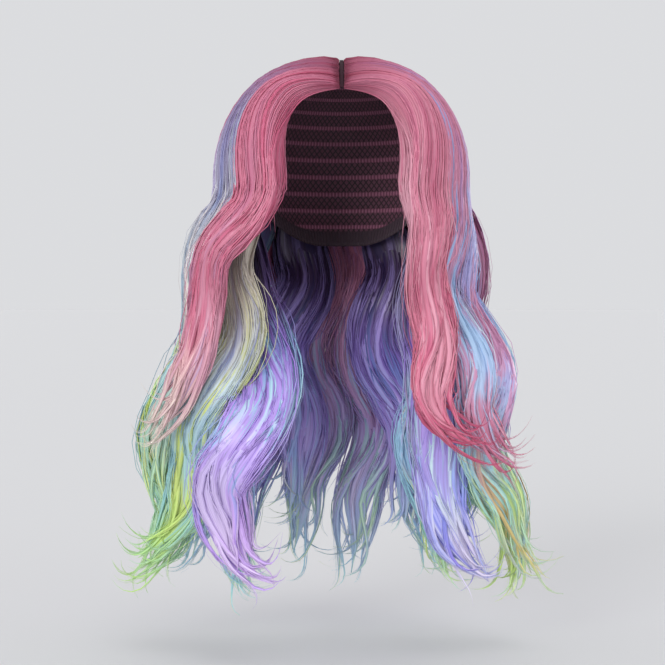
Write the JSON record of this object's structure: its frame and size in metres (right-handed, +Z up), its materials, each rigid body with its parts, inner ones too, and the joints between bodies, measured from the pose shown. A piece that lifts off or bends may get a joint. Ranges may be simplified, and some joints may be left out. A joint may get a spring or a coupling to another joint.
{
  "type": "long-haired wig",
  "caption": "Long-haired costume wig in its worn form: open net cap, middle parting and loose waved pastel locks to the chest and down the back.",
  "frame": {"origin": "the point on the inside of the cap that sits on the crown of the wearer's head, where the wig is held up", "axes": "+Z up, the face opening looks along -Y, +X to the right as seen from in front"},
  "size_m": [0.3751, 0.2399, 0.492],
  "materials": {
    "cap_net": "dark knitted net with sewn weft rows",
    "parting_cloth": "matt woven strip",
    "hair_pink": "glossy synthetic fibre",
    "hair_rose": "glossy synthetic fibre",
    "hair_lilac": "glossy synthetic fibre",
    "hair_violet": "glossy synthetic fibre",
    "hair_sky": "glossy synthetic fibre",
    "hair_mint": "glossy synthetic fibre",
    "hair_lime": "glossy synthetic fibre"
  },
  "bodies": {
    "root": {"net_cap": "cap_net", "parting_strip": "parting_cloth", "crown_left": "hair_pink", "crown_right": "hair_pink", "lock_front_left": "hair_pink", "lock_temple_left": "hair_lilac", "lock_side_left": "hair_mint", "lock_ear_left": "hair_pink", "lock_back_left": "hair_rose", "lock_middle_left": "hair_pink", "lock_front_right": "hair_pink", "lock_temple_right": "hair_pink", "lock_side_right": "hair_lilac", "lock_ear_right": "hair_pink", "lock_back_right": "hair_rose", "lock_middle_right": "hair_pink", "under_cream_left": "hair_lime", "under_blue_left": "hair_sky", "under_violet_left": "hair_violet", "under_nape_left": "hair_violet", "under_blue_right": "hair_sky", "under_mint_right": "hair_mint", "under_violet_right": "hair_violet", "under_nape_right": "hair_violet"}
  },
  "joints": []
}
